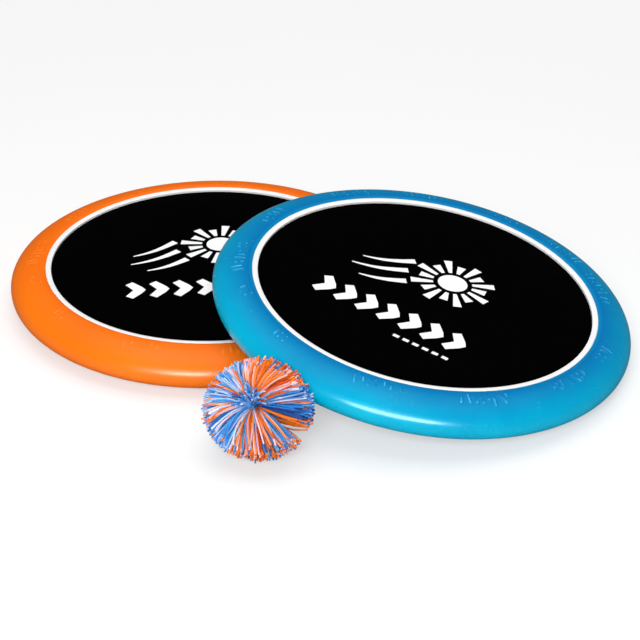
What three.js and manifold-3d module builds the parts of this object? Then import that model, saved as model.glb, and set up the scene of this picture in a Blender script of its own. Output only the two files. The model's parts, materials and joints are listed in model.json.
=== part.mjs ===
// Trampoline paddle set: two foam-rimmed paddles with a tensioned membrane, and a rubber strand ball.
// One paddle lies flat, the other leans on its rim with its far edge on the ground, and the ball
// rests in front of them. Millimetres, +Z up, ground at z = 0, origin under the middle of the set.
import * as THREE from 'three';
import { mergeVertices } from 'three/addons/utils/BufferGeometryUtils.js';
import Module from 'manifold-3d';

const wasm = await Module();
wasm.setup();

// ---------------------------------------------------------------- driving dimensions

const GAP = 0.3; // clearance between neighbouring pieces
const TURN_STEPS = 48; // facets round a paddle

// paddle rim: a foam ring with an elliptical outer half, heights measured from its flat foot
const PADDLE_RADIUS = 152.5;
const RIM_HEIGHT = 29.6;
const RIM_BULGE = 24; // how far the rounded outer half stands out from the crest
const RIM_BORE = 118; // inner wall under the hoops
const FOOT_INNER = 121; // the flat foot runs from here out to the crest's radius
const BULGE_STEPS = 8;

// white clamping hoop: the ring seen from above, with a flange and a skirt held in the foam
const HOOP_INNER = 121.6;
const HOOP_OUTER = 125.6;
const HOOP_TOP = 28.9;
const HOOP_UNDERSIDE = 26.3;
const HOOP_CROWN = 0.6; // how much lower the hoop's inner edge is than its outer edge
const HOOP_BEVEL = 0.3;
const SKIRT_INNER = 124.7;
const SKIRT_OUTER = 126.5;
const SKIRT_BOTTOM = 20.5;
const FLANGE_OUTER = 133;
const FLANGE_TOP = 26.7;
const FLANGE_UNDERSIDE = 25;

// lower hoop, inside the skirt, and the cord sewn into the membrane's hem
const LOWER_HOOP_INNER = 120.5;
const SHELF_DROP = 1.3; // the shelf that holds the cord, below the sheet
const CORD_RADIUS = 0.95;
const CORD_DROP = 0.5; // the cord's centre, below the middle of the sheet
const CORD_STEPS = 6;

// membrane: one stretched sheet, in three zones so that it can dish
const MEMBRANE_TOP = HOOP_UNDERSIDE - GAP;
const MEMBRANE_THICKNESS = 1.2;
const MEMBRANE_BOTTOM = MEMBRANE_TOP - MEMBRANE_THICKNESS;
const CENTRE_RADIUS = 40;
const MIDDLE_RADIUS = 100;
const CLAMP_WIDTH = 0.6; // how far the sheet reaches in under the hoop
const MEMBRANE_RADIUS = HOOP_INNER + CLAMP_WIDTH;

// how the second paddle lies on the first
const BLUE_OFFSET_X = 155.02;
const BLUE_OFFSET_Y = -73.83;
const LEAN = THREE.MathUtils.degToRad(8.584);
const LEAN_HEADING = THREE.MathUtils.degToRad(-20.884); // the low side, about +Z from +X

// ball: a bundle of rubber strands tied at the middle, opened out in sectors round the bundle's axis;
// it sags a little under its weight and gives way where it lies against the leaning paddle
const BALL_RADIUS = 35.2;
const BALL_HALF_HEIGHT = 30.6;
const BALL_X = 43.9; // from the flat paddle's centre
const BALL_Y = -210.55;
const BALL_AXIS = new THREE.Vector3(-0.23, -0.51, 0.829).normalize();
const BALL_TO_RIM = 1.2; // clearance where the ball gives way
const SECTORS = 12;
const AXIAL_RADIUS = 8; // the strands that stay along the axis
const WAIST_RADIUS = 4.5; // where the band ties them
const BAND_OUTER = 7.6;
const BAND_HALF_WIDTH = 3;

const ORANGE = 0xff7a05;
const BLUE = 0x1190c8;
const WHITE = 0xf2f2f0;
const BLACK = 0x0d0d10;
const PALE_GREY = 0xc9c9c6;

// ---------------------------------------------------------------- helpers

function mesh(name, geometry, color, roughness) {
  const material = new THREE.MeshStandardMaterial({ color, roughness, metalness: 0 });
  const piece = new THREE.Mesh(geometry, material);
  piece.name = name;
  return piece;
}

// A ring turned about Z from a closed outline of [radius, height] points, anticlockwise.
function turnedRing(outline, steps = TURN_STEPS) {
  const points = outline.map(([r, z]) => new THREE.Vector2(r, z));
  points.push(points[0].clone());
  return new THREE.LatheGeometry(points, steps).rotateX(Math.PI / 2);
}

function flatRing(inner, outer, bottom, top) {
  return turnedRing([[inner, bottom], [outer, bottom], [outer, top], [inner, top]]);
}

function disc(radius, bottom, top) {
  const outline = [[0, bottom], [radius, bottom], [radius, top], [0, top]];
  const points = outline.map(([r, z]) => new THREE.Vector2(r, z));
  return new THREE.LatheGeometry(points, TURN_STEPS).rotateX(Math.PI / 2);
}

// Points on part of an ellipse, from one angle to another, both ends included.
function ellipse(centreR, centreZ, halfWidth, halfHeight, from, to, steps) {
  const points = [];
  for (let i = 0; i <= steps; i += 1) {
    const angle = from + ((to - from) * i) / steps;
    points.push([centreR + halfWidth * Math.cos(angle), centreZ + halfHeight * Math.sin(angle)]);
  }
  return points;
}

function toManifold(geometry) {
  const bare = geometry.clone();
  bare.deleteAttribute('normal');
  bare.deleteAttribute('uv');
  const merged = mergeVertices(bare, 1e-4);
  const vertProperties = Float32Array.from(merged.getAttribute('position').array);
  const triVerts = Uint32Array.from(merged.getIndex().array);
  return new wasm.Manifold(new wasm.Mesh({ numProp: 3, vertProperties, triVerts }));
}

function fromManifold(solid) {
  const { vertProperties, triVerts } = solid.getMesh();
  const geometry = new THREE.BufferGeometry();
  geometry.setAttribute('position', new THREE.BufferAttribute(vertProperties, 3));
  geometry.setIndex(new THREE.BufferAttribute(triVerts, 1));
  geometry.computeVertexNormals();
  return geometry;
}

// ---------------------------------------------------------------- paddle

const CREST_RADIUS = PADDLE_RADIUS - RIM_BULGE;
const HALF_HEIGHT = RIM_HEIGHT / 2;

// The foam ring: a flat foot, a full rounded outside, a thin lip over the hoop's flange, the groove
// that holds the flange and skirt, and a ledge under the lower hoop.
function foamRim() {
  const lipInner = HOOP_OUTER + GAP;
  const lipUnderside = FLANGE_TOP + GAP;
  const ledge = SKIRT_BOTTOM - GAP;
  const footRound = FOOT_INNER - RIM_BORE;
  const footBevel = footRound * (1 - Math.SQRT1_2);
  return turnedRing([
    [FOOT_INNER, 0],
    ...ellipse(CREST_RADIUS, HALF_HEIGHT, RIM_BULGE, HALF_HEIGHT, -Math.PI / 2, Math.PI / 2, BULGE_STEPS),
    [lipInner, HOOP_TOP],
    [lipInner, lipUnderside],
    [FLANGE_OUTER + GAP, lipUnderside],
    [FLANGE_OUTER + GAP, FLANGE_UNDERSIDE - GAP],
    [SKIRT_OUTER + GAP, FLANGE_UNDERSIDE - GAP],
    [SKIRT_OUTER + GAP, ledge],
    [RIM_BORE, ledge],
    [RIM_BORE, footRound],
    [RIM_BORE + footBevel, footBevel],
  ]);
}

function upperHoop() {
  return turnedRing([
    [HOOP_INNER, HOOP_UNDERSIDE],
    [SKIRT_INNER, HOOP_UNDERSIDE],
    [SKIRT_INNER, SKIRT_BOTTOM],
    [SKIRT_OUTER, SKIRT_BOTTOM],
    [SKIRT_OUTER, FLANGE_UNDERSIDE],
    [FLANGE_OUTER, FLANGE_UNDERSIDE],
    [FLANGE_OUTER, FLANGE_TOP],
    [HOOP_OUTER, FLANGE_TOP],
    [HOOP_OUTER, HOOP_TOP - HOOP_BEVEL],
    [HOOP_OUTER - HOOP_BEVEL, HOOP_TOP],
    [(HOOP_INNER + HOOP_OUTER) / 2, HOOP_TOP - HOOP_CROWN / 3],
    [HOOP_INNER, HOOP_TOP - HOOP_CROWN],
  ]);
}

// The lower hoop presses the sheet up against the upper one, and its shelf holds the hem cord.
function lowerHoop() {
  const shelf = MEMBRANE_BOTTOM - SHELF_DROP;
  const outer = SKIRT_INNER - GAP;
  return turnedRing([
    [LOWER_HOOP_INNER, SKIRT_BOTTOM],
    [outer, SKIRT_BOTTOM],
    [outer, shelf],
    [MEMBRANE_RADIUS, shelf],
    [MEMBRANE_RADIUS, MEMBRANE_BOTTOM - GAP],
    [LOWER_HOOP_INNER, MEMBRANE_BOTTOM - GAP],
  ]);
}

function hemCord() {
  const centreR = (MEMBRANE_RADIUS + SKIRT_INNER) / 2;
  const centreZ = (MEMBRANE_TOP + MEMBRANE_BOTTOM) / 2 - CORD_DROP;
  const round = ellipse(centreR, centreZ, CORD_RADIUS, CORD_RADIUS, 0, 2 * Math.PI, CORD_STEPS);
  return turnedRing(round.slice(0, -1));
}

function paddle(colour, rimColor) {
  const group = new THREE.Group();
  const edge = flatRing(MIDDLE_RADIUS + GAP / 2, MEMBRANE_RADIUS, MEMBRANE_BOTTOM, MEMBRANE_TOP);
  const middle = flatRing(CENTRE_RADIUS + GAP / 2, MIDDLE_RADIUS - GAP / 2, MEMBRANE_BOTTOM, MEMBRANE_TOP);
  const centre = disc(CENTRE_RADIUS - GAP / 2, MEMBRANE_BOTTOM, MEMBRANE_TOP);
  group.add(
    mesh(`${colour}_foam_rim`, foamRim(), rimColor, 0.45),
    mesh(`${colour}_upper_hoop`, upperHoop(), WHITE, 0.35),
    mesh(`${colour}_lower_hoop`, lowerHoop(), PALE_GREY, 0.5),
    mesh(`${colour}_hem_cord`, hemCord(), BLACK, 0.8),
    mesh(`${colour}_membrane_edge`, edge, BLACK, 0.85),
    mesh(`${colour}_membrane_middle`, middle, BLACK, 0.85),
    mesh(`${colour}_membrane_centre`, centre, BLACK, 0.85),
  );
  return group;
}

// ---------------------------------------------------------------- ball

// The strands along the axis: a spindle drawn in at the waist by the band, with rounded ends.
function axialStrands() {
  const capAngle = Math.asin(AXIAL_RADIUS / BALL_HALF_HEIGHT);
  const up = Math.PI / 2;
  const bottom = ellipse(0, 0, BALL_HALF_HEIGHT, BALL_HALF_HEIGHT, -up, -up + capAngle, 3);
  const top = ellipse(0, 0, BALL_HALF_HEIGHT, BALL_HALF_HEIGHT, up - capAngle, up, 3);
  bottom[0][0] = 0;
  top.at(-1)[0] = 0;
  const waist = [[WAIST_RADIUS, -BAND_HALF_WIDTH - 1], [WAIST_RADIUS, BAND_HALF_WIDTH + 1]];
  const points = [...bottom, ...waist, ...top].map(([r, z]) => new THREE.Vector2(r, z));
  return new THREE.LatheGeometry(points, 2 * SECTORS).rotateX(Math.PI / 2);
}

function tieBand() {
  const inner = WAIST_RADIUS + GAP;
  const round = ellipse(
    (inner + BAND_OUTER) / 2, 0, (BAND_OUTER - inner) / 2, BAND_HALF_WIDTH, 0, 2 * Math.PI, 8,
  );
  return turnedRing(round.slice(0, -1), 2 * SECTORS);
}

// One sector of strands: the sagging ball between two planes through its axis, outside the axial
// strands and clear of whatever it lies against. All in the ball's own frame.
function sectorSolids(turn, neighbour) {
  const round = new THREE.SphereGeometry(BALL_RADIUS, 2 * SECTORS, SECTORS).rotateX(Math.PI / 2);
  round.scale(1, 1, BALL_HALF_HEIGHT / BALL_RADIUS).applyQuaternion(turn.clone().invert());
  const core = new THREE.CylinderGeometry(
    AXIAL_RADIUS + GAP, AXIAL_RADIUS + GAP, 2.2 * BALL_RADIUS, 2 * SECTORS,
  ).rotateX(Math.PI / 2);
  const shell = toManifold(round).subtract(toManifold(core)).subtract(toManifold(neighbour));
  const half = Math.PI / SECTORS;
  const reach = 2 * BALL_RADIUS;
  const apex = GAP / 2 / Math.sin(half);
  const solids = [];
  for (let i = 0; i < SECTORS; i += 1) {
    const shape = new THREE.Shape([
      new THREE.Vector2(apex, 0),
      new THREE.Vector2(apex + reach * Math.cos(half), -reach * Math.sin(half)),
      new THREE.Vector2(apex + reach * Math.cos(half), reach * Math.sin(half)),
    ]);
    const wedge = new THREE.ExtrudeGeometry(shape, { depth: 2 * reach, bevelEnabled: false });
    wedge.translate(0, 0, -reach).rotateZ((2 * i + 1) * half);
    solids.push(fromManifold(shell.intersect(toManifold(wedge))));
  }
  return solids;
}

function ball(turn, neighbour) {
  const group = new THREE.Group();
  group.add(mesh('ball_tie_band', tieBand(), BLUE, 0.6));
  group.add(mesh('ball_axial_strands', axialStrands(), BLUE, 0.6));
  sectorSolids(turn, neighbour).forEach((solid, i) => {
    const number = String(i + 1).padStart(2, '0');
    group.add(mesh(`ball_strands_${number}`, solid, i % 2 ? BLUE : ORANGE, 0.6));
  });
  return group;
}

// ---------------------------------------------------------------- the set

const UP = new THREE.Vector3(0, 0, 1);
const set = new THREE.Group();

set.add(paddle('orange', ORANGE));

// the leaning paddle's centre is as high as it takes for its low edge to touch the ground
const leaning = paddle('blue', BLUE);
const lowPoint = Math.hypot(RIM_BULGE * Math.sin(LEAN), HALF_HEIGHT * Math.cos(LEAN));
const leanHeight = CREST_RADIUS * Math.sin(LEAN) + lowPoint - HALF_HEIGHT * Math.cos(LEAN);
const normal = new THREE.Vector3(
  Math.sin(LEAN) * Math.cos(LEAN_HEADING), Math.sin(LEAN) * Math.sin(LEAN_HEADING), Math.cos(LEAN),
);
leaning.position.set(BLUE_OFFSET_X, BLUE_OFFSET_Y, leanHeight);
leaning.quaternion.setFromUnitVectors(UP, normal);
set.add(leaning);

// the room the leaning paddle takes up as it is lifted straight off, with the clearance round it,
// seen from the ball
const place = new THREE.Object3D();
place.position.set(BALL_X, BALL_Y, BALL_HALF_HEIGHT);
place.quaternion.setFromUnitVectors(UP, BALL_AXIS);
place.updateMatrix();
const liftingRoom = new THREE.CylinderGeometry(
  PADDLE_RADIUS + BALL_TO_RIM, PADDLE_RADIUS + BALL_TO_RIM, 4 * BALL_RADIUS, 3 * TURN_STEPS,
).rotateX(Math.PI / 2);
const rimMiddle = leaning.position.clone().addScaledVector(normal, HALF_HEIGHT);
liftingRoom.translate(rimMiddle.x, rimMiddle.y, BALL_RADIUS).applyMatrix4(place.matrix.clone().invert());

const strandBall = ball(place.quaternion, liftingRoom);
strandBall.position.copy(place.position);
strandBall.quaternion.copy(place.quaternion);
set.add(strandBall);

// the origin is on the ground, under the middle of the set's bounding box
const middle = new THREE.Box3().setFromObject(set, true).getCenter(new THREE.Vector3());
set.position.set(-middle.x, -middle.y, 0);

const group = new THREE.Group();
group.add(set);
group.updateMatrixWorld(true);

export default group;
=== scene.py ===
import json
import math

import bpy
import numpy as np
from mathutils import Matrix, Vector


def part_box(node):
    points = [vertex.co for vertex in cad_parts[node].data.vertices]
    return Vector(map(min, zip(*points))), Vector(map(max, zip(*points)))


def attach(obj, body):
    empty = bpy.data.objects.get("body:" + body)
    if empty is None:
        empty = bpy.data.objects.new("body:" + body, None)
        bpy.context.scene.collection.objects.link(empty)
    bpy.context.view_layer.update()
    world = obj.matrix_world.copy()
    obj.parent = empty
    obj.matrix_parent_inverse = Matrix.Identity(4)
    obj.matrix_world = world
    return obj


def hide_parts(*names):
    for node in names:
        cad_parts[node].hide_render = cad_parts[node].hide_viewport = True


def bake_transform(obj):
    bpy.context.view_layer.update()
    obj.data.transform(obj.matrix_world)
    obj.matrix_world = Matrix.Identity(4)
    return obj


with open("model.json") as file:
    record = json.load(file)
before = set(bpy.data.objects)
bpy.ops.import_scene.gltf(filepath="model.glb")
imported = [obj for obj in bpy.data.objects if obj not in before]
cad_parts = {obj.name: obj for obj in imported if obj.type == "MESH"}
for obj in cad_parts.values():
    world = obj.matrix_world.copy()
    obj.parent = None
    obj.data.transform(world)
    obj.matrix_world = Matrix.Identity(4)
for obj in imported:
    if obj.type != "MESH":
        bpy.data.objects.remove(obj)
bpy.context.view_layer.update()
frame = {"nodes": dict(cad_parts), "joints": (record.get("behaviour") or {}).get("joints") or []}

MM = 0.001

# ------------------------------------------------------------------ sizes, in millimetres

# rim section, heights from the paddle's foot
PADDLE_RADIUS = 152.5
RIM_HEIGHT = 29.6
BULGE = 24.0            # the rounded outer half, from the crest out
RIM_BORE = 118.0
FOOT_INNER = 121.0
LIP_INNER = 125.9
LIP_TOP = 28.9
LIP_UNDERSIDE = 27.0
GROOVE_OUTER = 133.3
GROOVE_FLOOR = 24.7
SKIRT_SEAT = 126.8
LEDGE = 20.2
RIM_TURNS = 1300        # steps round the rim, fine enough for its raised marks

# hoops
HOOP_INNER = 121.6
HOOP_OUTER = 125.6
HOOP_TOP = 28.9
HOOP_UNDERSIDE = 26.3
HOOP_CROWN = 0.6
SKIRT_INNER = 124.7
SKIRT_OUTER = 126.5
SKIRT_BOTTOM = 20.5
FLANGE_OUTER = 133.0
FLANGE_TOP = 26.7
FLANGE_UNDERSIDE = 25.0
LOWER_HOOP_INNER = 120.5
LOWER_HOOP_SHELF = 23.5
LOWER_HOOP_TOP = 24.5
HOOP_TURNS = 384

# membrane
SHEET_RADIUS = 122.2
SHEET_TOP = 26.0
SHEET_BOTTOM = 24.8
SHEET_RINGS = 62
SHEET_TURNS = 192
PRESSED_RADIUS = 38.0   # the middle of the sheet that moves with the bounce
WEAVE_PITCH = 1.8       # between threads
INK_SUNK = 0.05
INK_PROUD = 0.12

# print
BURST_CENTRE = (10.0, 24.0)
BURST_DOT = 11.0
BURST_RAYS = 16
RAY_START = 14.5
RAY_ENDS = (25.0, 31.0)          # short and long rays take turns
RAY_HALF_WIDTHS = (1.3, 3.2)
STREAKS = (                      # from, to, and how far the middle sags
    ((-58, 10), (-25, 31), 3.0),
    ((-60, -3), (-23, 16), 3.0),
    ((-48, -14), (-17, 2), 2.5),
)
CHEVRONS = 7
CHEVRON_PITCH = 17.5
CHEVRON_POINTS = ((-62.0, -54.0), (-54.0, -43.5), (-62.0, -33.0))
CHEVRON_HALF_WIDTHS = (3.2, 4.2, 3.2)
DASHES = 6
DASH_PITCH = 7.6
DASH_POINTS = ((10.0, -66.0), (14.6, -66.0))
DASH_HALF_WIDTH = 1.4

# raised marks on the rim
MARK_RADIUS = 136.0     # turns an angle round the rim into a length
MARK_WIDTH = 1.1
MARK_SHOULDER = 0.6
MARK_GROUPS = 13
MARK_LENGTHS = (0.0, 0.8, 3.5, 5.0, 7.5)
MARK_RELIEF = {"orange": 0.35, "blue": 0.6}
MARK_SEED = 4

# ball
BALL_RADIUS = 35.4
BALL_HALF_HEIGHT = 30.8   # it sags a little under its weight
CRATER = 15.0             # where the strands open out, along the axis from the middle
STRAND_HALF_WIDTH = 0.46
STRAND_SECTIONS = 9
STRANDS_PER_HALF = 1600
CLUMP_STRANDS = 3
CROWN_STRANDS = 70        # short ones that stand in the crater at each end of the axis
STRAND_TO_RIM = 1.5
STRAND_SEED = 11


# ------------------------------------------------------------------ places, from the frame

def box_centre(node):
    low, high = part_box(node)
    return (low + high) / 2


def joint_axis(name):
    return next(Vector(j["axis"]) for j in frame["joints"] if j["name"] == name).normalized()


def paddle_place(colour):
    """The matrix from a paddle's own frame (metres, z = 0 at its foot) to the row frame."""
    normal = joint_axis(f"{colour}_bounce")
    across = (Vector((1, 0, 0)) - normal * normal.x).normalized()
    sheet_middle = box_centre(f"{colour}_membrane_centre")
    foot_centre = sheet_middle - normal * (SHEET_TOP + SHEET_BOTTOM) / 2 * MM
    place = Matrix((across, normal.cross(across), normal)).transposed().to_4x4()
    place.translation = foot_centre
    return place


PLACES = {colour: paddle_place(colour) for colour in ("orange", "blue")}


# ------------------------------------------------------------------ where the camera stands

CAMERA_ELEVATION = math.radians(30.25)
CAMERA_DISTANCE = 1.218
CAMERA_ROLL = math.radians(0.59)
CAMERA_LENS = 91.27
AIM_FROM_ORANGE = Vector((0.0832, -0.0424, 0.0))   # from the orange paddle's centre, on the ground


def aim_point():
    foot = PLACES["orange"].translation
    return Vector((foot.x, foot.y, 0.0)) + AIM_FROM_ORANGE


def camera_away():
    return Vector((0, -math.cos(CAMERA_ELEVATION), math.sin(CAMERA_ELEVATION)))


def camera_place():
    return aim_point() + camera_away() * CAMERA_DISTANCE


# ------------------------------------------------------------------ mesh helpers

def make_object(name, points, faces, place=None, attributes=None, smooth_angle=40):
    """An object from points in millimetres. place, if given, is the paddle frame they are in, and
    the pattern attribute keeps the points as they were in that frame."""
    points = np.asarray(points, float) * MM
    mesh = bpy.data.meshes.new(name)
    world = points
    if place is not None:
        turn = np.array(place.to_3x3())
        world = points @ turn.T + np.array(place.translation)
    mesh.vertices.add(len(world))
    mesh.vertices.foreach_set("co", world.astype(np.float32).ravel())
    sizes = np.concatenate([np.full(len(f), f.shape[1]) for f in faces])
    corners = np.concatenate([f.ravel() for f in faces])
    mesh.loops.add(len(corners))
    mesh.loops.foreach_set("vertex_index", corners.astype(np.int32))
    mesh.polygons.add(len(sizes))
    starts = np.concatenate(([0], np.cumsum(sizes)[:-1]))
    mesh.polygons.foreach_set("loop_start", starts.astype(np.int32))
    mesh.update(calc_edges=True)
    mesh.validate()
    mesh.shade_smooth()
    if smooth_angle is not None:
        mesh.set_sharp_from_angle(angle=math.radians(smooth_angle))
    pattern = mesh.attributes.new("pattern", "FLOAT_VECTOR", "POINT")
    pattern.data.foreach_set("vector", points.astype(np.float32).ravel())
    for key, values in (attributes or {}).items():
        layer = mesh.attributes.new(key, "FLOAT", "POINT")
        layer.data.foreach_set("value", np.asarray(values, np.float32).ravel())
    obj = bpy.data.objects.new(name, mesh)
    bpy.context.scene.collection.objects.link(obj)
    return obj


def grid_faces(rows, columns, close_rows=False, close_columns=True):
    """Quads of a grid of rows x columns points, optionally closed in either direction."""
    row = np.arange(rows if close_rows else rows - 1)
    column = np.arange(columns if close_columns else columns - 1)
    i, j = np.meshgrid(row, column, indexing="ij")
    i2, j2 = (i + 1) % rows, (j + 1) % columns
    quads = (i * columns + j, i * columns + j2, i2 * columns + j2, i2 * columns + j)
    return np.stack(quads, -1).reshape(-1, 4)


def ellipse_arc(centre, half_width, half_height, start, end, steps):
    angle = np.radians(np.linspace(start, end, steps + 1))
    return np.c_[centre[0] + half_width * np.cos(angle), centre[1] + half_height * np.sin(angle)]


def rounded(outline, radius, steps=3):
    """A closed outline of [r, z] points with its corners rounded."""
    outline = np.asarray(outline, float)
    result = []
    for before, corner, after in zip(np.roll(outline, 1, 0), outline, np.roll(outline, -1, 0)):
        back, ahead = before - corner, after - corner
        reach = min(radius, np.linalg.norm(back) * 0.45, np.linalg.norm(ahead) * 0.45)
        start = corner + back / np.linalg.norm(back) * reach
        end = corner + ahead / np.linalg.norm(ahead) * reach
        for t in np.linspace(0, 1, steps + 1):
            result.append((1 - t) ** 2 * start + 2 * t * (1 - t) * corner + t ** 2 * end)
    return np.array(result)


def turned(outline, turns):
    """Points of a closed outline, anticlockwise in [r, z], turned round the z axis."""
    angle = np.linspace(0, 2 * math.pi, turns, endpoint=False)
    r, z = outline[:, 0:1], outline[:, 1:2]
    return np.stack((r * np.cos(angle), r * np.sin(angle), np.broadcast_to(z, (len(r), turns))), -1)


def turned_object(name, outline, turns, place):
    points = turned(outline, turns)
    faces = grid_faces(len(outline), turns, close_rows=True)
    return make_object(name, points.reshape(-1, 3), [faces[:, ::-1]], place)


# ------------------------------------------------------------------ materials

MIRROR_AT_FULL_LEVEL = 0.08     # the share that the shader mirrors head on at its full level


class Nodes:
    """A small wrapper that builds a material's node tree."""

    def __init__(self, name):
        self.material = bpy.data.materials.new(name)
        self.material.use_nodes = True
        self.tree = self.material.node_tree
        self.shader = next(n for n in self.tree.nodes if n.type == "BSDF_PRINCIPLED")

    def add(self, kind, inputs=None, **settings):
        node = self.tree.nodes.new(kind)
        for key, value in settings.items():
            setattr(node, key, value)
        for key, value in (inputs or {}).items():
            self.put(node.inputs[key], value)
        return node

    def put(self, socket, value):
        if isinstance(value, bpy.types.NodeSocket):
            self.tree.links.new(value, socket)
        else:
            socket.default_value = value

    def set(self, **inputs):
        for key, value in inputs.items():
            self.put(self.shader.inputs[key.replace("_", " ")], value)

    def pattern(self):
        return self.add("ShaderNodeAttribute", attribute_name="pattern").outputs["Vector"]

    def value(self, name):
        return self.add("ShaderNodeAttribute", attribute_name=name).outputs["Fac"]

    def noise(self, vector, scale, detail=2.0, roughness=0.5):
        inputs = {"Vector": vector, "Scale": scale, "Detail": detail, "Roughness": roughness}
        return self.add("ShaderNodeTexNoise", inputs).outputs["Fac"]

    def math(self, operation, a, b=0.0):
        return self.add("ShaderNodeMath", {0: a, 1: b}, operation=operation).outputs[0]

    def remap(self, value, low, high, to_low, to_high):
        names = ("Value", "From Min", "From Max", "To Min", "To Max")
        inputs = dict(zip(names, (value, low, high, to_low, to_high)))
        return self.add("ShaderNodeMapRange", inputs).outputs[0]

    def length(self, vector):
        return self.add("ShaderNodeVectorMath", {0: vector}, operation="LENGTH").outputs["Value"]

    def radius(self, vector):
        """The distance of a pattern point from its paddle's middle line."""
        inputs = {0: vector, 1: (1.0, 1.0, 0.0)}
        flat = self.add("ShaderNodeVectorMath", inputs, operation="MULTIPLY")
        return self.length(flat.outputs[0])

    def mix(self, share, a, b):
        node = self.add("ShaderNodeMix", data_type="RGBA")
        self.put(node.inputs[0], share)
        self.put(node.inputs[6], a)
        self.put(node.inputs[7], b)
        return node.outputs[2]

    def bump(self, height, strength, distance, normal=None):
        inputs = {"Height": height, "Strength": strength, "Distance": distance}
        if normal is not None:
            inputs["Normal"] = normal
        return self.add("ShaderNodeBump", inputs).outputs["Normal"]

    def surface(self, shader):
        output = next(node for node in self.tree.nodes if node.type == "OUTPUT_MATERIAL")
        self.put(output.inputs["Surface"], shader.outputs[0])


def rgb(red, green, blue):
    """A linear colour from 0-255 display values."""
    def linear(c):
        c /= 255
        return c / 12.92 if c <= 0.04045 else ((c + 0.055) / 1.055) ** 2.4
    return (linear(red), linear(green), linear(blue), 1.0)


def foam_skin(name, top, deep, side, worn, shine, gloss):
    """Satin integral-skin foam, painted lighter towards its lower flank where the front lamp and the
    floor light it: faint mottling, a fine pebble, light scuffs on the outermost edge, and paler crowns
    on the raised marks, a painted glint with a little wear. shine is how strongly it mirrors, in red,
    green and blue."""
    n = Nodes(name)
    where = n.pattern()
    height = n.add("ShaderNodeSeparateXYZ", {0: where}).outputs["Z"]
    # Painted light: the foam is painted lighter towards its lower flank, where the front lamp and the
    # floor light it; side is that lit colour.
    painted_flank_light = n.remap(height, RIM_HEIGHT * MM, RIM_HEIGHT / 2 * MM, 0.0, 1.0)
    body = n.mix(n.math("SQRT", painted_flank_light), top, side)
    mottle = n.remap(n.noise(where, 26.0, 4.0, 0.6), 0.35, 0.65, 0.0, 0.22)
    body = n.mix(mottle, body, deep)
    cloud = n.remap(n.noise(where, 9.0, 2.0), 0.3, 0.7, 0.0, 0.16)
    body = n.mix(cloud, body, deep)
    edge = n.remap(n.radius(where), 0.149, 0.1524, 0.0, 1.0)
    streaks = n.remap(n.noise(where, 310.0, 5.0, 0.75), 0.60, 0.72, 0.0, 1.0)
    scuff = n.math("MULTIPLY", edge, streaks)
    body = n.mix(n.math("MULTIPLY", scuff, 0.12), body, worn)
    # Painted glint: the crowns of the raised marks are painted paler, as if catching the light, with a
    # little wear.
    painted_glint_and_wear = n.remap(n.value("raised"), 0.55, 1.0, 0.0, 1.0)
    painted_glint_and_wear = n.math("MULTIPLY", painted_glint_and_wear, n.remap(n.noise(where, 130.0, 2.0), 0.35, 0.65, 0.05, 0.65))
    body = n.mix(painted_glint_and_wear, body, worn)
    pebble = n.noise(where, 1500.0, 3.0, 0.6)
    dents = n.noise(where, 120.0, 3.0, 0.5)
    normal = n.bump(dents, 0.3, 0.0001, n.bump(pebble, 0.4, 0.00002))
    rough = n.remap(n.noise(where, 60.0, 4.0, 0.6), 0.3, 0.7, gloss, gloss + 0.08)
    rough = n.math("ADD", rough, n.math("MULTIPLY", scuff, 0.25))
    strength = max(shine)
    tint = tuple(share / strength for share in shine) + (1.0,)
    n.set(Base_Color=body, Roughness=rough, Normal=normal)
    n.set(Specular_IOR_Level=strength / MIRROR_AT_FULL_LEVEL, Specular_Tint=tint)
    return n.material


def hoop_plastic(name, colour, shade, gloss):
    """Moulded plastic with faint turned lines and a little dust in the corners of the texture."""
    n = Nodes(name)
    where = n.pattern()
    cloud = n.remap(n.noise(where, 40.0, 3.0), 0.35, 0.7, 0.0, 0.5)
    lines = n.math("SINE", n.math("MULTIPLY", n.radius(where), 14000.0))
    grain = n.noise(where, 2600.0, 2.0)
    height = n.math("ADD", n.math("MULTIPLY", lines, 0.3), grain)
    n.set(Base_Color=n.mix(cloud, colour, shade), Normal=n.bump(height, 0.35, 0.00002))
    n.set(Roughness=n.remap(grain, 0.3, 0.7, gloss, gloss + 0.1))
    return n.material


def weave_height(n, where):
    """A plain weave of crossed threads, from 0 in the gaps to 1 on the crowns."""
    split = n.add("ShaderNodeSeparateXYZ", {0: where})
    turns = 2 * math.pi / (WEAVE_PITCH * MM)
    x = n.math("MULTIPLY", split.outputs["X"], turns)
    y = n.math("MULTIPLY", split.outputs["Y"], turns)
    warp = n.math("ABSOLUTE", n.math("SINE", x))
    weft = n.math("ABSOLUTE", n.math("SINE", y))
    over = n.math("GREATER_THAN", n.math("MULTIPLY", n.math("SINE", x), n.math("SINE", y)), 0.0)
    return n.add("ShaderNodeMix", {0: over, 2: warp, 3: weft}, data_type="FLOAT").outputs[0]


def mesh_fabric(name):
    """Near-black elastic mesh, with a woven relief, painted highlights on the crowns of the weave and
    painted shade in its gaps, and a trace of lint.
    """
    n = Nodes(name)
    where = n.pattern()
    weave = weave_height(n, where)
    cloud = n.noise(where, 30.0, 3.0)
    # Painted light: the crowns of the weave get a touch of painted highlight and the gaps painted
    # shade.
    painted_thread_shading = n.mix(weave, (0.0001, 0.0001, 0.0001, 1), (0.0007, 0.0007, 0.0008, 1))
    lint = n.remap(n.noise(where, 420.0, 2.0), 0.74, 0.82, 0.0, 0.12)
    n.set(Base_Color=n.mix(lint, painted_thread_shading, (0.02, 0.02, 0.021, 1)))
    n.set(Normal=n.bump(weave, 0.6, 0.00012), Roughness=n.remap(cloud, 0.3, 0.7, 0.72, 0.88))
    n.set(Specular_IOR_Level=0.015)
    return n.material


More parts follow.
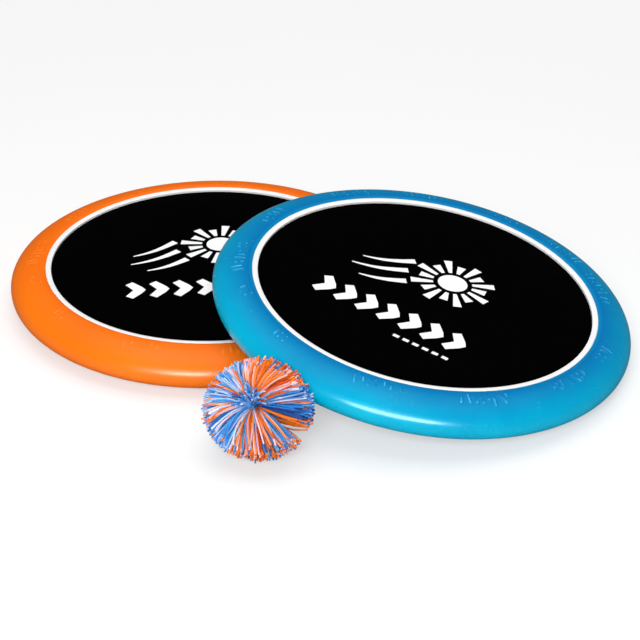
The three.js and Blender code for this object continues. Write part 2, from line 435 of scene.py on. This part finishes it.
def screen_ink(name):
    """White ink laid over the same weave, a little worn where the threads stand up."""
    n = Nodes(name)
    where = n.pattern()
    weave = weave_height(n, where)
    worn = n.math("MULTIPLY", weave, n.remap(n.noise(where, 90.0, 4.0, 0.65), 0.52, 0.72, 0.0, 0.35))
    n.set(Base_Color=n.mix(worn, rgb(254, 254, 254), rgb(190, 190, 192)))
    n.set(Normal=n.bump(weave, 0.3, 0.00005), Roughness=0.55, Specular_IOR_Level=0.3)
    return n.material


def cord_braid(name):
    n = Nodes(name)
    where = n.add("ShaderNodeTexCoord").outputs["Object"]
    inputs = {"Vector": where, "Scale": 300.0, "Distortion": 2.0}
    waves = n.add("ShaderNodeTexWave", inputs).outputs["Fac"]
    n.set(Base_Color=n.mix(waves, rgb(18, 18, 20), rgb(48, 48, 52)), Roughness=0.85)
    n.set(Normal=n.bump(waves, 0.5, 0.0002))
    return n.material


def strand_rubber(name, deep, middle, pale):
    """Soft rubber: each strand has its own tone, partly painted highlight and painted shade, and
    painted shade near the root where the strands crowd.
    """
    n = Nodes(name)
    tone, along = n.value("tone"), n.value("along")
    where = n.pattern()
    # Painted light: pale partly paints the highlights on the glossy strands, deep partly their shade.
    body = n.mix(n.remap(tone, 0.0, 0.55, 0.0, 1.0), deep, middle)
    body = n.mix(n.remap(tone, 0.6, 1.0, 0.0, 1.0), body, pale)
    # Painted shade at the root, where the strands crowd.
    body = n.mix(n.remap(along, 0.0, 0.4, 0.6, 0.0), body, deep)
    grain = n.noise(where, 1800.0, 3.0, 0.6)
    n.set(Base_Color=body, Normal=n.bump(grain, 0.4, 0.00005))
    n.set(Roughness=n.remap(grain, 0.3, 0.7, 0.30, 0.42), Specular_IOR_Level=0.5)
    return n.material


def band_rubber(name):
    n = Nodes(name)
    where = n.add("ShaderNodeTexCoord").outputs["Object"]
    grain = n.noise(where, 900.0, 4.0, 0.6)
    n.set(Base_Color=n.mix(grain, rgb(20, 60, 130), rgb(40, 100, 180)), Roughness=0.6)
    n.set(Normal=n.bump(grain, 0.4, 0.0001))
    return n.material


# In each foam, side paints the lit lower flank lighter, and worn is both the edge scuffs and the
# painted glint on the raised marks.
FOAM = {
    "orange": foam_skin(
        "orange_foam_skin",
        top=rgb(255, 116, 0),
        deep=rgb(250, 100, 0),
        side=rgb(255, 126, 2),
        worn=rgb(255, 150, 58),
        shine=(0.050, 0.042, 0.036),
        gloss=0.29,
    ),
    "blue": foam_skin(
        "blue_foam_skin",
        top=rgb(0, 120, 182),
        deep=rgb(0, 106, 174),
        side=rgb(0, 189, 222),
        worn=rgb(90, 214, 250),
        shine=(0.020, 0.042, 0.048),
        gloss=0.2,
    ),
}
WHITE_PLASTIC = hoop_plastic("white_hoop_plastic", rgb(250, 250, 249), rgb(236, 237, 238), 0.30)
GREY_PLASTIC = hoop_plastic("lower_hoop_plastic", rgb(206, 206, 202), rgb(188, 188, 184), 0.45)
MESH = mesh_fabric("membrane_mesh")
INK = screen_ink("membrane_ink")
CORD = cord_braid("hem_cord_braid")
BAND = band_rubber("tie_band_rubber")
# pale is partly a painted highlight and deep partly painted shade, besides each strand's own tone.
STRANDS = {
    "orange": strand_rubber(
        "orange_strand_rubber",
        deep=rgb(200, 60, 10),
        middle=rgb(255, 136, 24),
        pale=rgb(246, 208, 216),
    ),
    "blue": strand_rubber(
        "blue_strand_rubber",
        deep=rgb(10, 60, 140),
        middle=rgb(50, 150, 232),
        pale=rgb(184, 218, 250),
    ),
}


# ------------------------------------------------------------------ raised marks on the rim

def mark_strokes():
    """Strokes as rows of [u1, v1, u2, v2]: u is millimetres round the rim, v millimetres out from
    the crest. Groups of ticks and dots, with bare rim between them."""
    random = np.random.default_rng(MARK_SEED)
    ring = 2 * math.pi * MARK_RADIUS
    strokes = []
    for group in range(MARK_GROUPS):
        u = (group + random.uniform(-0.18, 0.18)) * ring / MARK_GROUPS
        for _ in range(random.integers(3, 9)):
            low = random.uniform(1.5, 5.0)
            length = random.choice(MARK_LENGTHS)
            slant = random.uniform(-0.35, 0.35) * length
            strokes.append((u, low, u + slant, low + length))
            if length < 1.0:
                strokes.append((u + 0.8, low + 4.5, u + 0.8, low + 5.5))
            u += random.uniform(4.0, 6.5)
    return np.array(strokes)


def mark_height(u, v):
    """How proud the marks stand, 0 to 1, at points u, v given as two grids of one shape."""
    height = np.zeros_like(u)
    ring = 2 * math.pi * MARK_RADIUS
    reach = MARK_WIDTH / 2 + MARK_SHOULDER
    for u1, v1, u2, v2 in mark_strokes():
        from_middle = (u[0] - (u1 + u2) / 2 + ring / 2) % ring - ring / 2
        columns = np.nonzero(np.abs(from_middle) < abs(u2 - u1) / 2 + reach)[0]
        rows = np.nonzero((v[:, 0] > min(v1, v2) - reach) & (v[:, 0] < max(v1, v2) + reach))[0]
        if not len(columns) or not len(rows):
            continue
        pu = from_middle[columns][None, :] + (u1 + u2) / 2
        pv = v[rows][:, :1]
        du, dv = u2 - u1, v2 - v1
        square = max(du * du + dv * dv, 1e-12)
        t = np.clip(((pu - u1) * du + (pv - v1) * dv) / square, 0, 1)
        away = np.hypot(pu - u1 - t * du, pv - v1 - t * dv)
        s = np.clip((reach - away) / MARK_SHOULDER, 0, 1)
        patch = np.ix_(rows, columns)
        height[patch] = np.maximum(height[patch], s * s * (3 - 2 * s))
    return height


# ------------------------------------------------------------------ paddles

def rim_outline():
    """The rim's section, anticlockwise from the foot, and the share of it that carries the marks."""
    crest = (PADDLE_RADIUS - BULGE, RIM_HEIGHT / 2)
    lower = ellipse_arc(crest, BULGE, RIM_HEIGHT / 2, -90, 10, 20)
    upper = ellipse_arc(crest, BULGE, RIM_HEIGHT / 2, 10, 90, 36)[1:]
    foot_round = FOOT_INNER - RIM_BORE
    inside = rounded([
        (LIP_INNER, LIP_TOP),
        (LIP_INNER, LIP_UNDERSIDE),
        (GROOVE_OUTER, LIP_UNDERSIDE),
        (GROOVE_OUTER, GROOVE_FLOOR),
        (SKIRT_SEAT, GROOVE_FLOOR),
        (SKIRT_SEAT, LEDGE),
        (RIM_BORE, LEDGE),
    ], 0.35, 1)
    bore = ellipse_arc((FOOT_INNER, foot_round), foot_round, foot_round, 180, 270, 4)
    return np.vstack((lower, upper, inside, bore)), len(lower), len(lower) + len(upper)


def make_rim(colour, relief):
    outline, first, last = rim_outline()
    points = turned(outline, RIM_TURNS)
    band = slice(first, last)
    section = outline[band]
    steps = np.linalg.norm(np.diff(section, axis=0), axis=1)
    out = np.concatenate((np.cumsum(steps[::-1])[::-1], [0.0]))
    angle = np.linspace(0, 2 * math.pi, RIM_TURNS, endpoint=False)
    u, v = np.meshgrid(angle * MARK_RADIUS, out)
    proud = mark_height(u, v) * relief
    slope = np.gradient(section, axis=0)
    slope /= np.linalg.norm(slope, axis=1)[:, None]
    outwards = np.stack((slope[:, 1], -slope[:, 0]), -1)
    radial = np.stack((np.cos(angle), np.sin(angle)), -1)
    points[band, :, :2] += proud[..., None] * outwards[:, None, :1] * radial[None]
    points[band, :, 2] += proud * outwards[:, 1:2]
    raised = np.zeros(points.shape[:2])
    raised[band] = proud / relief
    faces = grid_faces(len(outline), RIM_TURNS, close_rows=True)
    rim = make_object(f"{colour}_rim", points.reshape(-1, 3), [faces[:, ::-1]], PLACES[colour],
                      {"raised": raised})
    rim.data.materials.append(FOAM[colour])
    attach(rim, f"{colour}_paddle")
    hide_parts(f"{colour}_foam_rim")


def make_hoops(colour):
    upper = rounded([
        (HOOP_INNER, HOOP_UNDERSIDE),
        (SKIRT_INNER, HOOP_UNDERSIDE),
        (SKIRT_INNER, SKIRT_BOTTOM),
        (SKIRT_OUTER, SKIRT_BOTTOM),
        (SKIRT_OUTER, FLANGE_UNDERSIDE),
        (FLANGE_OUTER, FLANGE_UNDERSIDE),
        (FLANGE_OUTER, FLANGE_TOP),
        (HOOP_OUTER, FLANGE_TOP),
        (HOOP_OUTER, HOOP_TOP),
        ((HOOP_INNER + HOOP_OUTER) / 2, HOOP_TOP - HOOP_CROWN / 3),
        (HOOP_INNER, HOOP_TOP - HOOP_CROWN),
    ], 0.35)
    lower = rounded([
        (LOWER_HOOP_INNER, SKIRT_BOTTOM),
        (SKIRT_INNER - 0.3, SKIRT_BOTTOM),
        (SKIRT_INNER - 0.3, LOWER_HOOP_SHELF),
        (SHEET_RADIUS, LOWER_HOOP_SHELF),
        (SHEET_RADIUS, LOWER_HOOP_TOP),
        (LOWER_HOOP_INNER, LOWER_HOOP_TOP),
    ], 0.3)
    for name, outline, node, material, slot in (
        ("hoop", upper, "upper_hoop", WHITE_PLASTIC, "white_plastic"),
        ("inner_hoop", lower, "lower_hoop", GREY_PLASTIC, "grey_plastic"),
    ):
        hoop = turned_object(f"{colour}_{name}", outline, HOOP_TURNS, PLACES[colour])
        hoop.data.materials.append(material)
        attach(hoop, f"{colour}_paddle")
        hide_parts(f"{colour}_{node}")


def bounce_share(radius):
    """How far the stretched sheet follows a push on its middle: the shape of a tensioned membrane,
    which falls off with the logarithm of the distance, rounded over the pressed middle."""
    def soft(r):
        return (np.asarray(r, float) ** 4 + PRESSED_RADIUS ** 4) ** 0.25
    rim = soft(HOOP_INNER)
    share = np.log(rim / soft(radius)) / math.log(rim / PRESSED_RADIUS)
    return np.clip(share, 0, 1)


def bounce_with_sheet(obj):
    """Bakes the piece's place into its points and works out the share of a push on the sheet's middle
    that each point would follow, none at the hoop and all in the middle; nothing uses that share.
    """
    values = np.zeros(len(obj.data.vertices) * 3, np.float32)
    obj.data.attributes["pattern"].data.foreach_get("vector", values)
    local = values.reshape(-1, 3) / MM
    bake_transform(obj)
    share = bounce_share(np.hypot(local[:, 0], local[:, 1]))


def make_sheet(colour):
    """One stretched sheet with a faint pucker where the hem pulls it over the lower hoop."""
    radius = np.linspace(0, SHEET_RADIUS, SHEET_RINGS + 1)[1:]
    angle = np.linspace(0, 2 * math.pi, SHEET_TURNS, endpoint=False)
    r, a = np.meshgrid(radius, angle, indexing="ij")
    near_hoop = np.clip((r - 104) / 12, 0, 1) * np.clip((HOOP_INNER - r) / 3, 0, 1)
    pucker = 0.10 * near_hoop * np.sin(a * 48)
    rings = []
    for level in (SHEET_TOP, SHEET_BOTTOM):
        rings.append(np.stack((r * np.cos(a), r * np.sin(a), level + pucker), -1).reshape(-1, 3))
    centres = np.array([(0, 0, SHEET_TOP), (0, 0, SHEET_BOTTOM)], float)
    points = np.vstack((*rings, centres))
    count = SHEET_RINGS * SHEET_TURNS
    quads = grid_faces(SHEET_RINGS, SHEET_TURNS)
    j = np.arange(SHEET_TURNS)
    j2 = (j + 1) % SHEET_TURNS
    outer = (SHEET_RINGS - 1) * SHEET_TURNS
    wall = np.stack((outer + j, count + outer + j, count + outer + j2, outer + j2), -1)
    top_fan = np.stack((j, j2, np.full_like(j, 2 * count)), -1)
    bottom_fan = np.stack((count + j2, count + j, np.full_like(j, 2 * count + 1)), -1)
    faces = [quads[:, ::-1], quads + count, wall, top_fan, bottom_fan]
    sheet = make_object(f"{colour}_membrane", points, faces, PLACES[colour])
    sheet.data.materials.append(MESH)
    bounce_with_sheet(sheet)
    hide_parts(*(f"{colour}_membrane_{zone}" for zone in ("edge", "middle", "centre")))


# ------------------------------------------------------------------ print on the membranes

class Print:
    """Flat white shapes, each a closed ribbon or dot a tenth of a millimetre thick."""

    def __init__(self, turn, shift):
        self.turn, self.shift = math.radians(turn), np.array(shift, float)
        self.points, self.quads, self.tris, self.count = [], [], [], 0

    def put(self, flat):
        """Adds a top and a bottom copy of flat points, and returns where each starts."""
        flat = np.asarray(flat, float)
        c, s = math.cos(self.turn), math.sin(self.turn)
        moved = flat @ np.array(((c, s), (-s, c))) + self.shift
        first = self.count
        for level in (SHEET_TOP + INK_PROUD, SHEET_TOP - INK_SUNK):
            self.points.append(np.c_[moved, np.full(len(moved), level)])
            self.count += len(moved)
        return first, first + len(flat)

    def ribbon(self, path, half_widths):
        """A stroke along path, whose half width is given at each point, split about every 3 mm."""
        path, half = np.asarray(path, float), np.asarray(half_widths, float)
        fine, wide = [path[0]], [half[0]]
        for a, b, wa, wb in zip(path, path[1:], half, half[1:]):
            parts = max(1, int(np.ceil(np.linalg.norm(b - a) / 3)))
            for t in np.arange(1, parts + 1) / parts:
                fine.append(a + (b - a) * t)
                wide.append(wa + (wb - wa) * t)
        fine, wide = np.array(fine), np.array(wide)
        along = np.gradient(fine, axis=0)
        along /= np.linalg.norm(along, axis=1)[:, None]
        side = np.stack((-along[:, 1], along[:, 0]), -1) * wide[:, None]
        count = len(fine)
        top, low = self.put(np.vstack((fine + side, fine - side)))
        i = np.arange(count - 1)
        left, right = i, count + i
        self.quads.append(np.stack((top + right, top + right + 1, top + left + 1, top + left), -1))
        self.quads.append(np.stack((low + left, low + left + 1, low + right + 1, low + right), -1))
        self.quads.append(np.stack((top + left, top + left + 1, low + left + 1, low + left), -1))
        self.quads.append(np.stack((top + right + 1, top + right, low + right, low + right + 1), -1))
        end = count - 1
        self.quads.append(np.array([(top + count, top, low, low + count)]))
        self.quads.append(np.array([(top + end, top + count + end, low + count + end, low + end)]))

    def dot(self, centre, radius, turns=28):
        rings = max(1, int(np.ceil(radius / 3)))
        angle = np.linspace(0, 2 * math.pi, turns, endpoint=False)
        circle = np.stack((np.cos(angle), np.sin(angle)), -1)
        shells = [np.array(centre) + circle * radius * k / rings for k in range(1, rings + 1)]
        top, low = self.put(np.vstack((*shells, [centre])))
        j = np.arange(turns)
        j2 = (j + 1) % turns
        middle = np.full_like(j, rings * turns)
        self.tris.append(np.stack((top + j, top + j2, top + middle), -1))
        self.tris.append(np.stack((low + j2, low + j, low + middle), -1))
        if rings > 1:
            quads = grid_faces(rings, turns)
            self.quads += [quads[:, ::-1] + top, quads + low]
        rim = (rings - 1) * turns
        self.quads.append(np.stack((top + rim + j, low + rim + j, low + rim + j2, top + rim + j2), -1))

    def finish(self, colour):
        faces = [np.vstack(self.quads), np.vstack(self.tris)]
        ink = make_object(f"{colour}_print", np.vstack(self.points), faces, PLACES[colour])
        ink.data.materials.append(INK)
        bounce_with_sheet(ink)


def make_print(colour, turn, shift):
    """A generic print: a burst for the strand ball with three streaks behind it, over a bold row of
    chevrons and a short line of dashes."""
    mark = Print(turn, shift)
    burst = np.array(BURST_CENTRE)
    mark.dot(burst, BURST_DOT)
    for k in range(BURST_RAYS):
        angle = 2 * math.pi * (k + 0.5) / BURST_RAYS
        way = np.array((math.cos(angle), math.sin(angle)))
        mark.ribbon([burst + way * RAY_START, burst + way * RAY_ENDS[k % 2]], RAY_HALF_WIDTHS)
    bend = np.linspace(0, 1, 12)
    for start, end, sag in STREAKS:
        line = np.outer(1 - bend, start) + np.outer(bend, end)
        line[:, 1] -= sag * np.sin(math.pi * bend)
        mark.ribbon(line, 0.5 + 2.4 * bend)
    for k in range(CHEVRONS):
        mark.ribbon(np.array(CHEVRON_POINTS) + (k * CHEVRON_PITCH, 0), CHEVRON_HALF_WIDTHS)
    for k in range(DASHES):
        mark.ribbon(np.array(DASH_POINTS) + (k * DASH_PITCH, 0), [DASH_HALF_WIDTH] * 2)
    mark.finish(colour)


# ------------------------------------------------------------------ ball

# The colours round the ball as it is seen from the front, anticlockwise from straight left: where
# each tuft ends in degrees from the right-hand side, its share of orange strands, and how pale it is.
# The paleness is partly the strands' own tone and partly painted highlight on the lit left, with
# painted shade on the darker right.
TUFTS = (
    (-165, 0.45, 0.80),
    (-146, 0.62, 0.60),
    (-110, 0.06, 0.56),
    (-98, 0.82, 0.45),
    (-90, 0.62, 0.60),
    (-75, 0.92, 0.42),
    (-60, 0.50, 0.45),
    (-33, 0.62, 0.50),
    (-22, 0.76, 0.42),
    (-12, 0.20, 0.22),
    (12, 0.05, 0.46),
    (40, 0.82, 0.34),
    (50, 0.64, 0.32),
    (85, 0.92, 0.42),
    (102, 0.72, 0.62),
    (112, 0.10, 0.52),
    (135, 0.50, 0.78),
    (150, 0.15, 0.74),
    (163, 0.82, 0.42),
    (180, 0.16, 0.74),
)
NOTCH = -33.0           # a parting between two tufts
NOTCH_HALF_WIDTH = 6.0
CROWN_LEAN = (0.30, 0.10)   # how far the near strands lean to the left and up as they leave the band


def unit(vector):
    return vector / np.linalg.norm(vector, axis=-1, keepdims=True)


def ball_places():
    """The ball's centre in millimetres, its axis (the long way through its axial strands), and the
    way from it to the camera."""
    centre = np.array(box_centre("ball_tie_band"))
    mesh = frame["nodes"]["ball_axial_strands"].data
    points = np.array([v.co for v in mesh.vertices]) - centre
    axis = np.linalg.svd(points, full_matrices=False)[2][0]
    axis *= np.sign(axis[2])
    front = unit(np.array(camera_place()) - centre)
    return centre / MM, axis, front


def seen_ways(front):
    """The ways that are right and up as seen from the front."""
    right = unit(np.cross((0.0, 0.0, 1.0), front))
    return right, np.cross(front, right)


def seen_angle(offsets, front):
    """The angle of each offset as seen from the front: 0 is to the right, 90 is up."""
    right, up = seen_ways(front)
    return np.degrees(np.arctan2(offsets @ up, offsets @ right))


def spread(random, count, low, high, pole):
    """Directions in clumps, low to high degrees away from a pole."""
    clumps = count // CLUMP_STRANDS
    golden = math.pi * (3 - math.sqrt(5))
    shuffled = random.permutation(clumps)
    nearest, farthest = math.cos(math.radians(low)), math.cos(math.radians(high))
    cosine = farthest + (np.arange(clumps) + 0.5) / clumps * (nearest - farthest)
    around = shuffled * golden
    cosine = np.repeat(cosine, CLUMP_STRANDS) + random.normal(0, 0.08, clumps * CLUMP_STRANDS)
    around = np.repeat(around, CLUMP_STRANDS) + random.normal(0, 0.09, clumps * CLUMP_STRANDS)
    cosine = np.clip(cosine, -0.98, 0.98)
    sine = np.sqrt(1 - cosine ** 2)
    first = unit(np.cross(pole, (0.3, 0.9, 0.2)))
    second = np.cross(pole, first)
    parts = (np.cos(around) * sine, np.sin(around) * sine, cosine)
    return np.stack(parts, -1) @ np.stack((first, second, pole))


def on_ball(directions):
    """Points where directions from the middle meet the sagging ball's outside."""
    size = np.array((BALL_RADIUS, BALL_RADIUS, BALL_HALF_HEIGHT))
    return directions / np.linalg.norm(directions / size, axis=1, keepdims=True)


def keep_clear(points):
    """Pushes strand points off the ground and out of the leaning paddle's rim."""
    place = PLACES["blue"]
    turn, origin = np.array(place.to_3x3()), np.array(place.translation) / MM
    local = (points - origin) @ turn
    radius = np.hypot(local[..., 0], local[..., 1])
    wide, tall = BULGE + STRAND_TO_RIM, RIM_HEIGHT / 2 + STRAND_TO_RIM
    across = (radius - (PADDLE_RADIUS - BULGE)) / wide
    up = (local[..., 2] - RIM_HEIGHT / 2) / tall
    depth = np.hypot(across, up)
    grow = np.where((depth < 1) & (across > 0), 1 / np.maximum(depth, 0.2), 1.0)
    scale = (PADDLE_RADIUS - BULGE + across * grow * wide) / radius
    local[..., 0] *= scale
    local[..., 1] *= scale
    local[..., 2] = RIM_HEIGHT / 2 + up * grow * tall
    cleared = local @ turn.T + origin
    floor = STRAND_HALF_WIDTH * 1.5
    sunk = floor - cleared[..., 2]
    cleared[..., 2] = np.where(sunk > 0, floor + 0.04 * sunk, cleared[..., 2])
    return cleared


def half_ball(random, axis, lean, low, high):
    """Tips and middle lines of the strands that leave one side of the tie band. They rise along the
    axis, open out at the crater and end on the ball's outside, low to high degrees from lean."""
    directions = spread(random, STRANDS_PER_HALF, low, high, lean)
    count = len(directions)
    tips = on_ball(directions) * (1 + random.normal(0, 0.018, (count, 1)))
    top = np.clip((directions @ axis + 0.2) / 0.8, 0, 1)[:, None]
    outwards = unit(tips - (tips @ axis)[:, None] * axis)
    outwards = unit(outwards + random.normal(0, 0.16, (count, 3)))
    close = random.uniform(0.4, 4.0, (count, 1))
    root = outwards * close + axis * 2.0
    rise = outwards * (close + 0.9) + axis * (5.5 + 10.5 * top + random.normal(0, 0.9, (count, 1)))
    bend = tips * 0.6 + axis * (2.0 + 7.5 * top)
    return root, rise, bend, tips


def crown(random, axis, count):
    """Short strands that stand in the crater and lean over its edge."""
    directions = unit(axis + random.normal(0, 0.35, (count, 3)))
    tips = directions * random.uniform(19.0, 24.0, (count, 1))
    outwards = unit(tips - (tips @ axis)[:, None] * axis)
    root = outwards * random.uniform(0.2, 2.5, (count, 1)) + axis * 2.0
    rise = outwards * 1.5 + axis * random.uniform(9.0, 14.0, (count, 1))
    bend = tips * 0.75 + axis * 4.0
    return root, rise, bend, tips


def ball_strands(random):
    """Middle lines of all strands, which of them are orange, and their tones."""
    centre, axis, front = ball_places()
    right, up = seen_ways(front)
    near = unit(axis - CROWN_LEAN[0] * right + CROWN_LEAN[1] * up)
    slumped = unit(axis + front)
    halves = (
        half_ball(random, near, slumped, 62, 104),
        half_ball(random, -axis, -slumped, 30, 100),
        crown(random, near, CROWN_STRANDS),
        crown(random, -axis, CROWN_STRANDS),
    )
    root, rise, bend, tips = (np.vstack(parts) for parts in zip(*halves))
    is_crown = np.arange(len(tips)) >= len(tips) - 2 * CROWN_STRANDS
    angle = seen_angle(tips - near * CRATER, front)
    parting = np.abs(angle - NOTCH) < NOTCH_HALF_WIDTH
    keep = ~parting | is_crown
    kept = (v[keep] for v in (root, rise, bend, tips, angle, is_crown))
    root, rise, bend, tips, angle, is_crown = kept
    t = np.linspace(0, 1, STRAND_SECTIONS)[None, :, None]
    weights = ((1 - t) ** 3, 3 * t * (1 - t) ** 2, 3 * t ** 2 * (1 - t), t ** 3)
    path = sum(w * p[:, None] for w, p in zip(weights, (root, rise, bend, tips)))
    count = len(tips)
    path = path + random.normal(0, 1.3, (count, 1, 3)) * np.sin(math.pi * t) * t
    path = path + random.normal(0, 0.8, (count, 1, 3)) * t ** 3
    wobbled = angle + random.normal(0, 2.0, count)
    tuft = np.searchsorted([end for end, _, _ in TUFTS], wobbled, side="left") % len(TUFTS)
    share = np.array([orange for _, orange, _ in TUFTS])[tuft]
    pale = np.array([tone for _, _, tone in TUFTS])[tuft]
    orange = random.random(count) < np.where(is_crown, 0.04, share)
    # Each strand's tone: its tuft's paleness, partly painted highlight and shade, plus random spread.
    tone = np.where(is_crown, 0.58, pale + 0.1) + random.normal(0, 0.27, count)
    return keep_clear(path + centre), orange, tone


def strand_mesh(name, paths, tones, random):
    """Square rubber strands, thinner where the band squeezes them."""
    count, sections = paths.shape[:2]
    along = unit(np.gradient(paths, axis=1))
    across = unit(np.cross(along, random.normal(0, 1, (count, 1, 3))))
    other = np.cross(along, across)
    t = np.linspace(0, 1, sections)
    half = STRAND_HALF_WIDTH * (0.45 + 0.55 * np.clip(t / 0.4, 0, 1))[None, :, None]
    half = half * random.uniform(0.84, 1.1, (count, 1, 1))
    ring = [across * half * a + other * half * b for a, b in ((1, 1), (-1, 1), (-1, -1), (1, -1))]
    points = (paths[:, :, None] + np.stack(ring, 2)).reshape(-1, 3)
    base = (np.arange(count) * sections * 4)[:, None]
    sides = (grid_faces(sections, 4)[None] + base[:, :, None]).reshape(-1, 4)
    root = base + np.array((0, 1, 2, 3))
    tip = base + (sections - 1) * 4 + np.array((3, 2, 1, 0))
    ends = np.vstack((root, tip))
    values = {
        "tone": np.repeat(np.clip(tones, 0, 1), sections * 4),
        "along": np.tile(np.repeat(t, 4), count),
    }
    return make_object(name, points, [sides[:, ::-1], ends[:, ::-1]], None, values, 50)


def make_ball():
    random = np.random.default_rng(STRAND_SEED)
    paths, is_orange, tones = ball_strands(random)
    for colour, chosen in (("orange", is_orange), ("blue", ~is_orange)):
        strands = strand_mesh(f"ball_strands_{colour}", paths[chosen], tones[chosen], random)
        strands.data.materials.append(STRANDS[colour])
        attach(strands, "strand_ball")
        parity = 1 if colour == "orange" else 0
        sectors = [f"ball_strands_{k:02d}" for k in range(1, 13) if k % 2 == parity]
        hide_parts(*sectors)
        if colour == "blue":
            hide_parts("ball_axial_strands")


# ------------------------------------------------------------------ build

def give_material(node, material):
    """A CAD node that is kept gets a finished material."""
    slots = frame["nodes"][node].data.materials
    slots.clear()
    slots.append(material)


for colour in ("orange", "blue"):
    make_rim(colour, MARK_RELIEF[colour])
    make_hoops(colour)
    make_sheet(colour)
    give_material(f"{colour}_hem_cord", CORD)
make_print("orange", 7.0, (-2.0, 4.0))
make_print("blue", -31.0, (0.0, -2.0))
make_ball()
give_material("ball_tie_band", BAND)


# ------------------------------------------------------------------ studio

ROOM_LIGHT = 0.25       # what the dim room round the lamps gives
BACKDROP_LIGHT = 0.97   # the pale backdrop, as the camera sees it
FLOOR_GLOW = 0.5        # how much of the floor's look round the set is that glow
GLOW_START, GLOW_FULL = 0.45, 1.7   # distances from the set over which the floor turns into backdrop
FLOOR_BOUNCE = (222, 222, 222)   # the grey that the floor throws back on the set
FLOOR_MIRRORED = (80, 80, 80)    # the grey that is mirrored in the undersides
SHINE_LIGHT = 0.04      # the room as it is mirrored in the set
WARM_SHINE = (1.0, 0.70, 0.72)


def make_camera():
    data = bpy.data.cameras.new("camera")
    data.lens = CAMERA_LENS
    data.sensor_width = 36.0
    data.clip_start, data.clip_end = 0.05, 20.0
    camera = bpy.data.objects.new("camera", data)
    bpy.context.scene.collection.objects.link(camera)
    away = camera_away()
    right = Vector((1, 0, 0))
    up = away.cross(right)
    tilted_right = right * math.cos(CAMERA_ROLL) + up * math.sin(CAMERA_ROLL)
    tilted_up = up * math.cos(CAMERA_ROLL) - right * math.sin(CAMERA_ROLL)
    turn = Matrix((tilted_right, tilted_up, away)).transposed().to_4x4()
    turn.translation = camera_place()
    camera.matrix_world = turn
    bpy.context.scene.camera = camera


def softbox(name, azimuth, elevation, distance, size, watts, shine_only=False, colour=(1, 1, 1)):
    """An area light that faces the set from a direction; azimuth -90 is the camera's side. It either
    lights the set or only shines in its highlights."""
    data = bpy.data.lights.new(name, "AREA")
    data.shape = "RECTANGLE"
    data.size, data.size_y = size
    data.energy = watts
    data.color = colour
    light = bpy.data.objects.new(name, data)
    bpy.context.scene.collection.objects.link(light)
    a, e = math.radians(azimuth), math.radians(elevation)
    way = Vector((math.cos(e) * math.cos(a), math.cos(e) * math.sin(a), math.sin(e)))
    light.visible_glossy = shine_only
    light.visible_diffuse = not shine_only
    light.location = aim_point() + way * distance
    light.rotation_euler = way.to_track_quat("Z", "Y").to_euler()


def make_floor():
    """Pale paint that glows a little for the camera, as a lit studio sweep does, with soft shadows."""
    n = Nodes("floor_paint")
    where = n.add("ShaderNodeTexCoord").outputs["Object"]
    path = n.add("ShaderNodeLightPath")
    seen = path.outputs["Is Camera Ray"]
    paint = n.mix(n.noise(where, 3.0), rgb(247, 247, 247), rgb(251, 251, 251))
    unseen = n.mix(path.outputs["Is Glossy Ray"], rgb(*FLOOR_BOUNCE), rgb(*FLOOR_MIRRORED))
    n.set(Base_Color=n.mix(seen, unseen, paint), Roughness=0.9, Specular_IOR_Level=0.1)
    glow = n.add("ShaderNodeEmission", {"Color": (1.0, 1.0, 1.0, 1.0), "Strength": BACKDROP_LIGHT})
    share = n.remap(n.length(where), GLOW_START, GLOW_FULL, FLOOR_GLOW, 1.0)
    share = n.math("MULTIPLY", seen, share)
    n.surface(n.add("ShaderNodeMixShader", {0: share, 1: n.shader.outputs[0], 2: glow.outputs[0]}))
    bpy.ops.mesh.primitive_plane_add(size=12.0, location=(0, 0, -0.0002))
    floor = bpy.context.object
    floor.name = "floor"
    floor.data.materials.append(n.material)


def make_world():
    """A dim room that hardly shows in reflections, in front of a pale backdrop."""
    world = bpy.data.worlds.new("studio")
    world.use_nodes = True
    tree = world.node_tree
    path = tree.nodes.new("ShaderNodeLightPath")
    level = ROOM_LIGHT
    for ray, strength in (("Is Glossy Ray", SHINE_LIGHT), ("Is Camera Ray", BACKDROP_LIGHT)):
        choose = tree.nodes.new("ShaderNodeMix")
        tree.links.new(path.outputs[ray], choose.inputs[0])
        if isinstance(level, float):
            choose.inputs[2].default_value = level
        else:
            tree.links.new(level, choose.inputs[2])
        choose.inputs[3].default_value = strength
        level = choose.outputs[0]
    tree.links.new(level, tree.nodes["Background"].inputs["Strength"])
    tree.nodes["Background"].inputs["Color"].default_value = (1.0, 1.0, 1.0, 1.0)
    bpy.context.scene.world = world


make_camera()
make_world()
make_floor()
softbox("front_shine", -95, 21, 1.7, (1.25, 0.42), 60, shine_only=True, colour=WARM_SHINE)
softbox("front", -98, 34, 1.8, (0.9, 0.5), 22)
softbox("overhead", 80, 78, 2.8, (3.0, 3.0), 54)
bpy.context.scene.view_settings.view_transform = "Standard"
